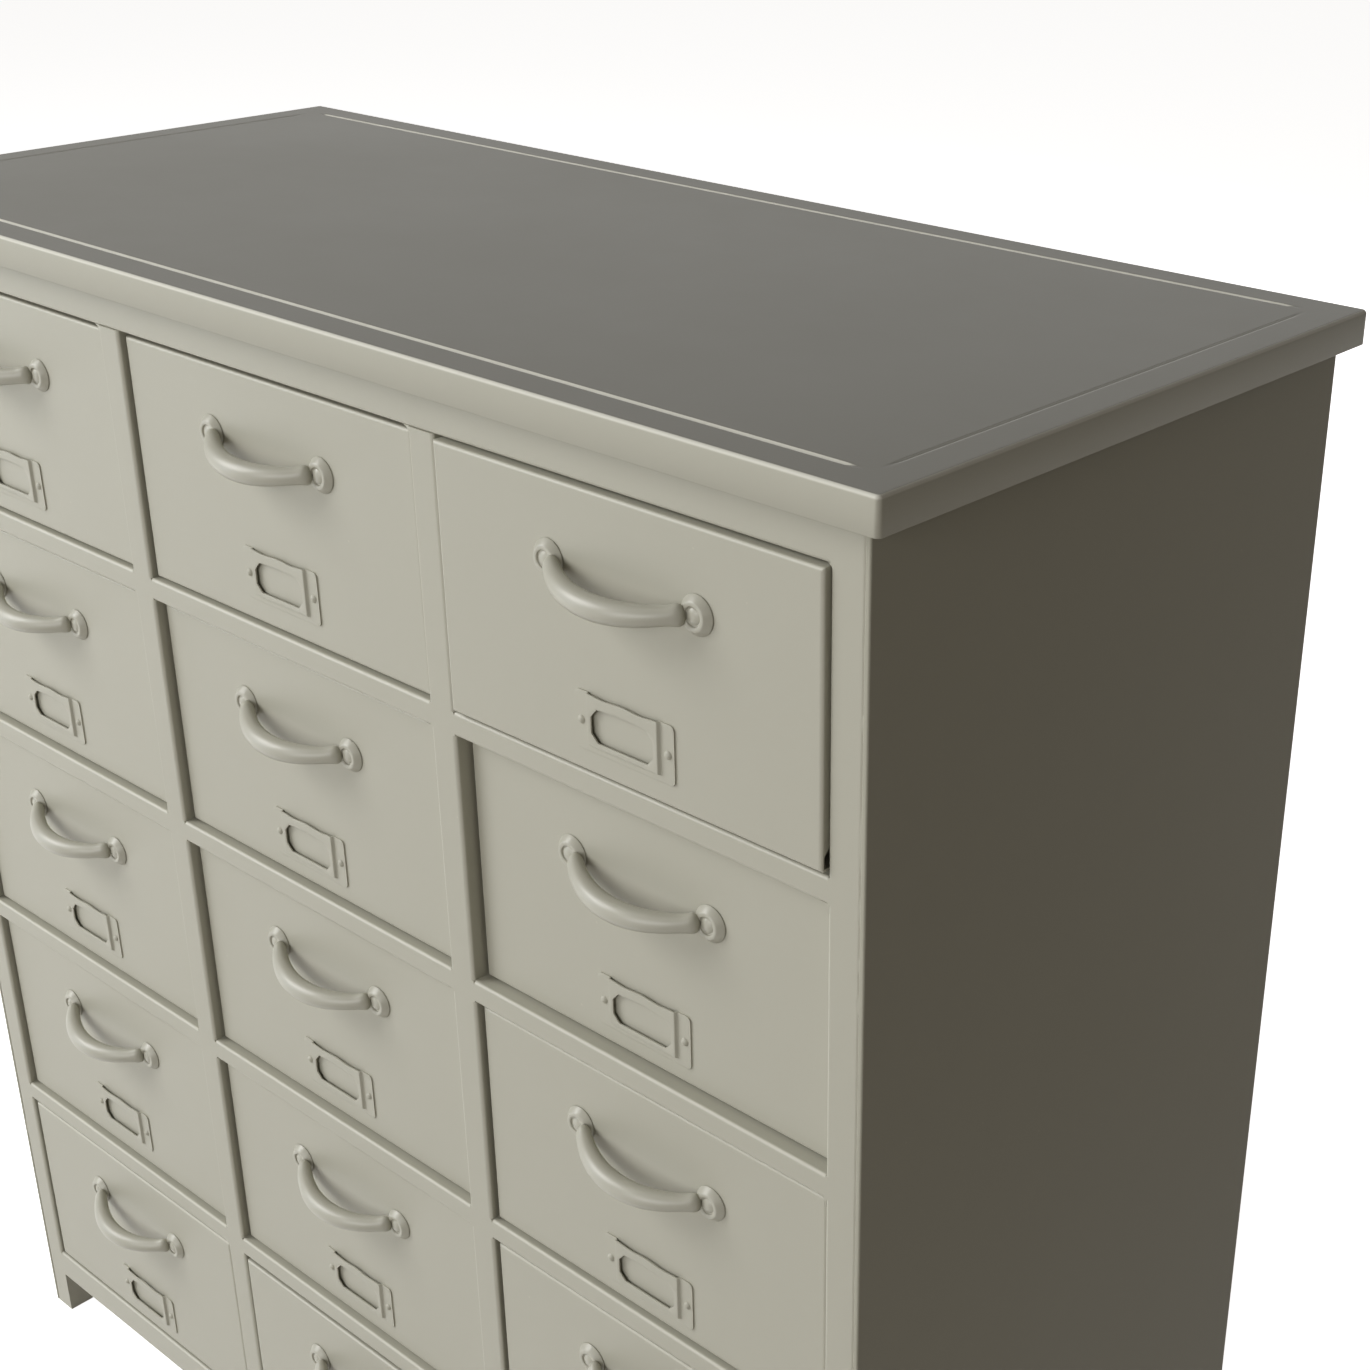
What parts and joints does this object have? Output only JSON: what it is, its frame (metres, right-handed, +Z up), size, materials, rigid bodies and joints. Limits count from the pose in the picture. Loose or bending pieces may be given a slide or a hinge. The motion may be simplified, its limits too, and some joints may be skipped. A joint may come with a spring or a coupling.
{
  "type": "small metal drawer cabinet",
  "caption": "Low metal cabinet on short feet with a grid of inset sheet drawers in a tube frame, each with a bow pull and a card holder, under a folded top with a pressed groove.",
  "frame": {"origin": "on the floor, midway across the width and midway between the foremost pull and the back of the top", "axes": "+X to the right seen from the front, +Y from the drawer fronts to the back, +Z up"},
  "size_m": [0.824, 0.3792, 0.8398],
  "materials": {
    "cabinet_paint": "satin warm grey-green enamel",
    "pull_paint": "satin enamel over a cast pull",
    "inner_paint": "the same enamel, thinner, on the inner frame",
    "plug_plastic": "matt black"
  },
  "bodies": {
    "carcass": {"top_panel": "cabinet_paint", "left_side_panel": "cabinet_paint", "right_side_panel": "cabinet_paint", "back_panel": "cabinet_paint", "bottom_panel": "inner_paint", "front_posts": "cabinet_paint", "rear_posts": "cabinet_paint", "front_muntins": "cabinet_paint", "front_rails": "cabinet_paint", "rear_uprights": "inner_paint", "rear_rails": "inner_paint", "side_rails": "inner_paint", "runners": "inner_paint", "guides_and_stops": "inner_paint", "foot_plugs": "plug_plastic"},
    "drawer_body_r1c1": {"drawer_r1c1": "cabinet_paint", "pull_r1c1": "pull_paint", "card_holder_r1c1": "cabinet_paint"},
    "drawer_body_r1c2": {"drawer_r1c2": "cabinet_paint", "pull_r1c2": "pull_paint", "card_holder_r1c2": "cabinet_paint"},
    "drawer_body_r1c3": {"drawer_r1c3": "cabinet_paint", "pull_r1c3": "pull_paint", "card_holder_r1c3": "cabinet_paint"},
    "drawer_body_r2c1": {"drawer_r2c1": "cabinet_paint", "pull_r2c1": "pull_paint", "card_holder_r2c1": "cabinet_paint"},
    "drawer_body_r2c2": {"drawer_r2c2": "cabinet_paint", "pull_r2c2": "pull_paint", "card_holder_r2c2": "cabinet_paint"},
    "drawer_body_r2c3": {"drawer_r2c3": "cabinet_paint", "pull_r2c3": "pull_paint", "card_holder_r2c3": "cabinet_paint"},
    "drawer_body_r3c1": {"drawer_r3c1": "cabinet_paint", "pull_r3c1": "pull_paint", "card_holder_r3c1": "cabinet_paint"},
    "drawer_body_r3c2": {"drawer_r3c2": "cabinet_paint", "pull_r3c2": "pull_paint", "card_holder_r3c2": "cabinet_paint"},
    "drawer_body_r3c3": {"drawer_r3c3": "cabinet_paint", "pull_r3c3": "pull_paint", "card_holder_r3c3": "cabinet_paint"},
    "drawer_body_r4c1": {"drawer_r4c1": "cabinet_paint", "pull_r4c1": "pull_paint", "card_holder_r4c1": "cabinet_paint"},
    "drawer_body_r4c2": {"drawer_r4c2": "cabinet_paint", "pull_r4c2": "pull_paint", "card_holder_r4c2": "cabinet_paint"},
    "drawer_body_r4c3": {"drawer_r4c3": "cabinet_paint", "pull_r4c3": "pull_paint", "card_holder_r4c3": "cabinet_paint"},
    "drawer_body_r5c1": {"drawer_r5c1": "cabinet_paint", "pull_r5c1": "pull_paint", "card_holder_r5c1": "cabinet_paint"},
    "drawer_body_r5c2": {"drawer_r5c2": "cabinet_paint", "pull_r5c2": "pull_paint", "card_holder_r5c2": "cabinet_paint"},
    "drawer_body_r5c3": {"drawer_r5c3": "cabinet_paint", "pull_r5c3": "pull_paint", "card_holder_r5c3": "cabinet_paint"}
  },
  "joints": [
    {"name": "slide_r1c1", "type": "slide", "parent": "carcass", "child": "drawer_body_r1c1", "axis": [0, -1, 0], "range_m": [-0.0065, 0.2494]},
    {"name": "slide_r1c2", "type": "slide", "parent": "carcass", "child": "drawer_body_r1c2", "axis": [0, -1, 0], "range_m": [-0.0063, 0.2496]},
    {"name": "slide_r1c3", "type": "slide", "parent": "carcass", "child": "drawer_body_r1c3", "axis": [0, -1, 0], "range_m": [-0.0125, 0.2434]},
    {"name": "slide_r2c1", "type": "slide", "parent": "carcass", "child": "drawer_body_r2c1", "axis": [0, -1, 0], "range_m": [-0.0045, 0.2514]},
    {"name": "slide_r2c2", "type": "slide", "parent": "carcass", "child": "drawer_body_r2c2", "axis": [0, -1, 0], "range_m": [-0.004, 0.2519]},
    {"name": "slide_r2c3", "type": "slide", "parent": "carcass", "child": "drawer_body_r2c3", "axis": [0, -1, 0], "range_m": [-0.0015, 0.2544]},
    {"name": "slide_r3c1", "type": "slide", "parent": "carcass", "child": "drawer_body_r3c1", "axis": [0, -1, 0], "range_m": [-0.0045, 0.2514]},
    {"name": "slide_r3c2", "type": "slide", "parent": "carcass", "child": "drawer_body_r3c2", "axis": [0, -1, 0], "range_m": [-0.0037, 0.2522]},
    {"name": "slide_r3c3", "type": "slide", "parent": "carcass", "child": "drawer_body_r3c3", "axis": [0, -1, 0], "range_m": [-0.0061, 0.2498]},
    {"name": "slide_r4c1", "type": "slide", "parent": "carcass", "child": "drawer_body_r4c1", "axis": [0, -1, 0], "range_m": [-0.005, 0.2509]},
    {"name": "slide_r4c2", "type": "slide", "parent": "carcass", "child": "drawer_body_r4c2", "axis": [0, -1, 0], "range_m": [-0.0048, 0.2511]},
    {"name": "slide_r4c3", "type": "slide", "parent": "carcass", "child": "drawer_body_r4c3", "axis": [0, -1, 0], "range_m": [-0.0073, 0.2486]},
    {"name": "slide_r5c1", "type": "slide", "parent": "carcass", "child": "drawer_body_r5c1", "axis": [0, -1, 0], "range_m": [-0.008, 0.2479]},
    {"name": "slide_r5c2", "type": "slide", "parent": "carcass", "child": "drawer_body_r5c2", "axis": [0, -1, 0], "range_m": [-0.0095, 0.2464]},
    {"name": "slide_r5c3", "type": "slide", "parent": "carcass", "child": "drawer_body_r5c3", "axis": [0, -1, 0], "range_m": [-0.0075, 0.2484]}
  ]
}
